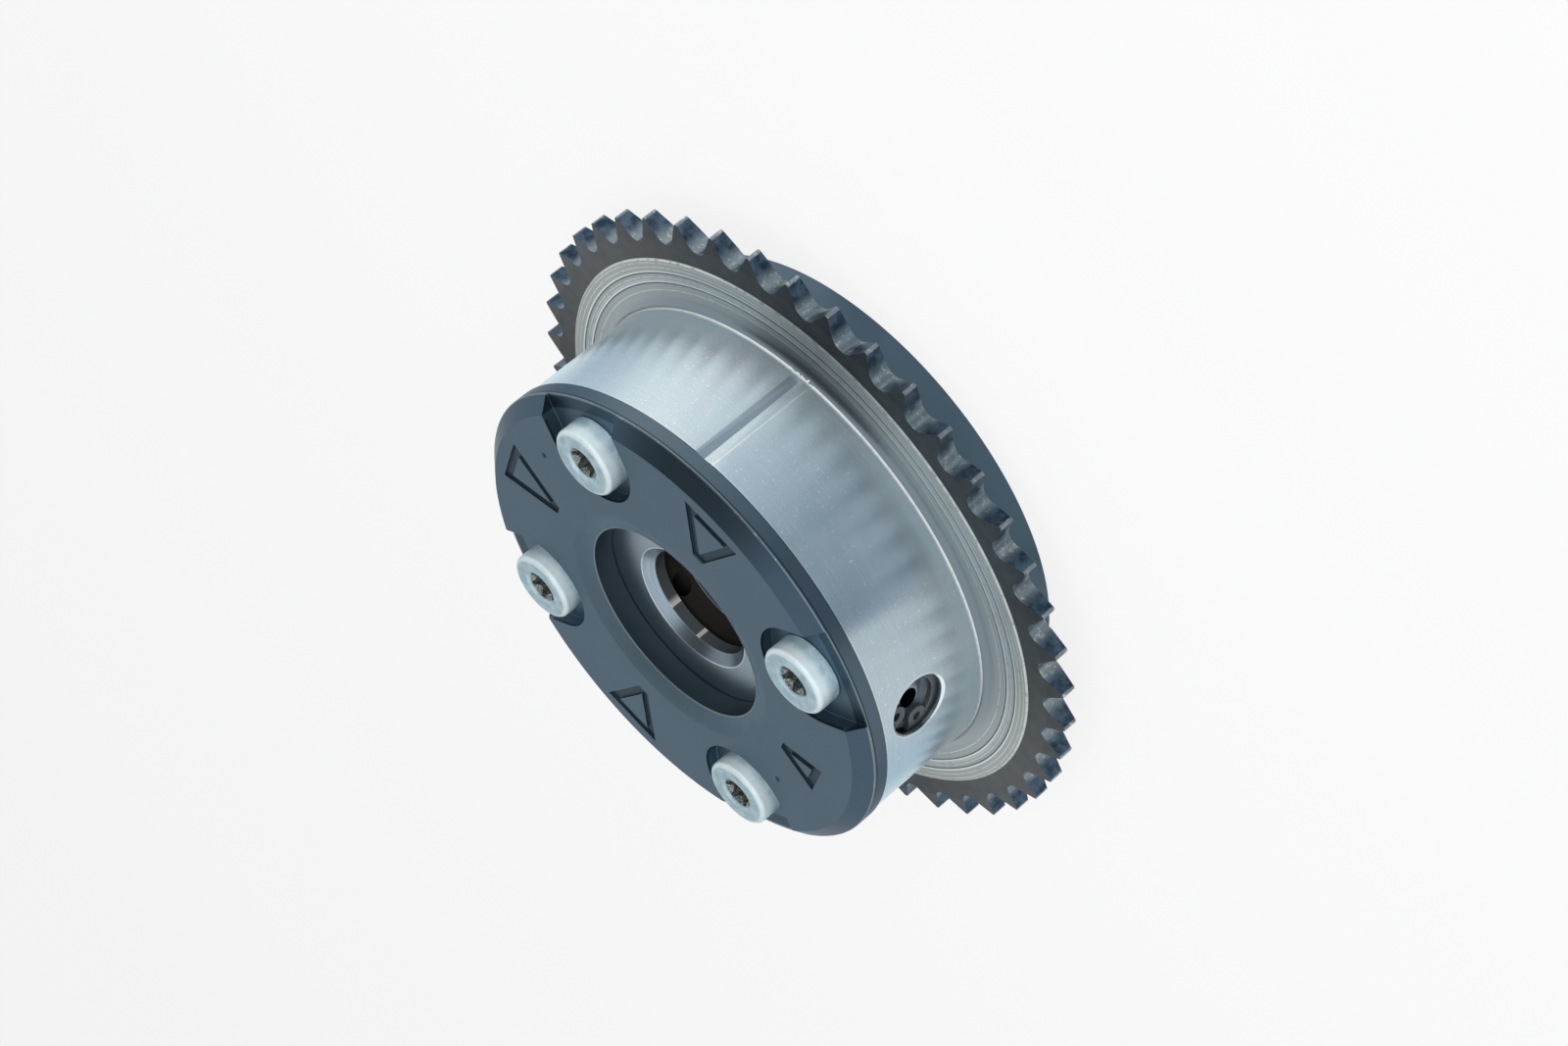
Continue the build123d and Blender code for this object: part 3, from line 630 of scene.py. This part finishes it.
def floor():
    """White paper, clear from below. Metal mirrors it in tones that change round the axis and are
    darkest on the side of the camera."""
    half, low = 4.0, -0.05 * MM
    mesh = bpy.data.meshes.new("floor")
    mesh.from_pydata([(-half, -half, low), (half, -half, low), (half, half, low), (-half, half, low)], [],
                     [(0, 1, 2, 3)])
    sheet = bpy.data.objects.new("floor", mesh)
    bpy.context.scene.collection.objects.link(sheet)
    f = Finish("paper", Base_Color=(0.86, 0.87, 0.88), Roughness=0.9)
    f.set("Specular IOR Level", 0.1)
    ray = f.raw("LightPath", {}, {})
    seen, mirrored = (Value(f, ray.outputs[name]) for name in ("Is Camera Ray", "Is Glossy Ray"))

    # Directions in degrees, each with the red, green and blue that metal mirrors there
    tones = ((-180, 0.75, 0.83, 0.87), (-150, 0.95, 0.97, 0.98), (-110, 0.88, 0.91, 0.93),
             (-83, 0.7, 0.79, 0.83), (-66, 0.5, 0.6, 0.68), (-48, 0.56, 0.63, 0.68),
             (-33, 0.68, 0.7, 0.72), (-16, 0.67, 0.69, 0.7), (8, 0.6, 0.62, 0.64),
             (10.2, 0.15, 0.2, 0.26), (16, 0.15, 0.2, 0.26), (33, 0.24, 0.29, 0.35),
             (49, 0.22, 0.28, 0.34), (82, 0.65, 0.71, 0.75), (114, 1.0, 1.0, 1.0),
             (131, 0.93, 0.95, 0.96), (147, 0.64, 0.7, 0.75), (164, 0.53, 0.61, 0.69),
             (180, 0.75, 0.83, 0.87))
    stops = [((angle + 180) / 360, colour) for angle, *colour in tones]
    tone = f.node("ValToRGB", {"stops": stops}, {"Fac": (f.side + 180) / 360})

    # A lighter patch close to the wheel on that side, and an even grey under the drum
    near = (1 - f.rise(f.radius, 80.0, 100.0)) * f.band(f.side, 15.0, 80.0, 12.0)
    tone = f.colour(near, tone, (0.5, 0.56, 0.61))
    under = 1 - f.rise(f.radius, housing_radius - 1.0, housing_radius)
    tone = f.colour(under, tone, (0.75, 0.75, 0.75))

    white_share = 0.85
    white = f.node("Emission", {}, {"Color": (1.0, 1.0, 1.0), "Strength": 1.0})
    lit = f.node("Emission", {}, {"Color": tone, "Strength": 1.0})
    paper = Value(f, f.shader.outputs[0])
    paper = f.node("MixShader", {}, {0: seen * white_share, 1: paper, 2: white})
    paper = f.node("MixShader", {}, {0: mirrored, 1: paper, 2: lit})
    below = f.node("NewGeometry", {}, {}, "Backfacing")
    paper = f.node("MixShader", {}, {0: below, 1: paper, 2: f.node("BsdfTransparent", {}, {})})
    f.join(paper, f.tree.nodes["Material Output"].inputs["Surface"])
    mesh.materials.append(f.material)


def surroundings():
    """White room, seen by camera and metal. Metal also sees two darker patches of ceiling."""
    world = bpy.data.worlds.new("surroundings")
    world.use_nodes = True
    s = Shading(world.node_tree)
    s.tree.nodes.clear()
    ray = s.raw("LightPath", {}, {})
    seen, mirrored, through = (Value(s, ray.outputs[name]) for name in (
        "Is Camera Ray", "Is Glossy Ray", "Is Transmission Ray"))
    look = s.node("TexCoord", {}, {}, "Generated")

    # Azimuth and height of each patch, the cosines at its edge and in its middle, and its darkness
    patches = ((118, 60, 0.83, 0.95, 0.85), (233, 55, 0.76, 1.0, 0.6))
    shade = 0.0
    for azimuth, height, edge, middle, darkness in patches:
        nearness = s.node("VectorMath", {"operation": "DOT_PRODUCT"}, {0: look, 1: towards(azimuth, height)},
                          "Value")
        shade = s.rise(nearness, edge, middle) * darkness + shade
    room = s.colour(shade * mirrored, (1.0, 1.0, 1.0), (0.0, 0.0, 0.0))
    white = s.node("Background", {}, {"Color": room, "Strength": 1.0})
    soft = s.node("Background", {}, {"Color": (0.93, 0.96, 1.0), "Strength": 0.17})
    plain = s.math("MAXIMUM", s.math("MAXIMUM", seen, mirrored), through)
    mix = s.node("MixShader", {}, {0: plain, 1: soft, 2: white})
    s.raw("OutputWorld", {}, {0: mix})
    bpy.context.scene.world = world


def lamp():
    """Large soft box, on the side from which the bolts are lit."""
    light = bpy.data.lights.new("soft_box", "AREA")
    light.shape = "SQUARE"
    light.size = 0.7
    light.energy = 14.5
    box = bpy.data.objects.new("soft_box", light)
    back = towards(52, 38)
    aim, distance = Vector((0, 0, 0.02)), 1.2
    box.location = aim + back * distance
    box.rotation_euler = back.to_track_quat("Z", "Y").to_euler()
    box.visible_glossy = False
    bpy.context.scene.collection.objects.link(box)


def camera():
    """Camera of the photograph: its aim, distance, direction and roll about its own axis."""
    aim = Vector((1.10, 3.53, 17.21)) * MM
    distance = 0.65548
    roll = radians(-129.0994)
    back = towards(51.70, 24.730)
    level = Vector((0, 0, 1)).cross(back).normalized()
    rise = back.cross(level)
    right = level * cos(roll) + rise * sin(roll)
    up = back.cross(right)
    lens = bpy.data.cameras.new("camera")
    lens.sensor_width = 36.0
    lens.lens = 94.5
    lens.clip_start, lens.clip_end = 0.01, 20.0
    view = bpy.data.objects.new("camera", lens)
    view.matrix_world = Matrix((right, up, back)).transposed().to_4x4()
    view.location = aim + back * distance
    bpy.context.scene.collection.objects.link(view)
    bpy.context.scene.camera = view


camera()
floor()
surroundings()
lamp()
bpy.context.scene.view_settings.view_transform = "Standard"

finishes = {"housing_steel": housing_finish(), "front_cover_steel": cover_finish(),
            "rear_cover_steel": drum_finish(), "rotor_steel": rotor_finish(), "bolt_zinc": zinc_finish()}

# Dark and light tone and roughness of the plain finishes, then how metallic they are and their vent
plain_values = {
    "seal_plastic": (srgb(60, 52, 46), srgb(84, 74, 66), 0.5, 0.0),
    "spring_steel": (srgb(96, 100, 104), srgb(128, 132, 136), 0.3),
    "pin_steel": (srgb(170, 174, 180), srgb(200, 204, 208), 0.22),
    "seat_steel": (srgb(140, 152, 160), srgb(176, 188, 196), 0.3, 0.8, vent_radius),
    "ring_steel": (srgb(84, 88, 92), srgb(118, 122, 126), 0.36, 0.8),
}
for name, values in plain_values.items():
    finishes[name] = plain_finish(name, *values)

# Width in millimetres of the round on each piece's edges
rounds = {"sprocket_housing": 0.1, "front_cover": 0.12, "rear_cover": 0.15,
          "rotor": 0.08, "lock_spring_seat": 0.08, "lock_retaining_ring": 0.06}
for node, thing in nodes.items():
    finish = finishes[slot_of[node]]
    if node in rounds:
        dressed(node, finish, rounds[node])
    elif node.startswith("cover_bolt"):
        turned_bolt(node, finish, bolt_turns[int(node[-1]) - 1])
    elif node == "lock_pin_spring":
        sprung(node, finish)
    else:
        coated(thing.data, finish)
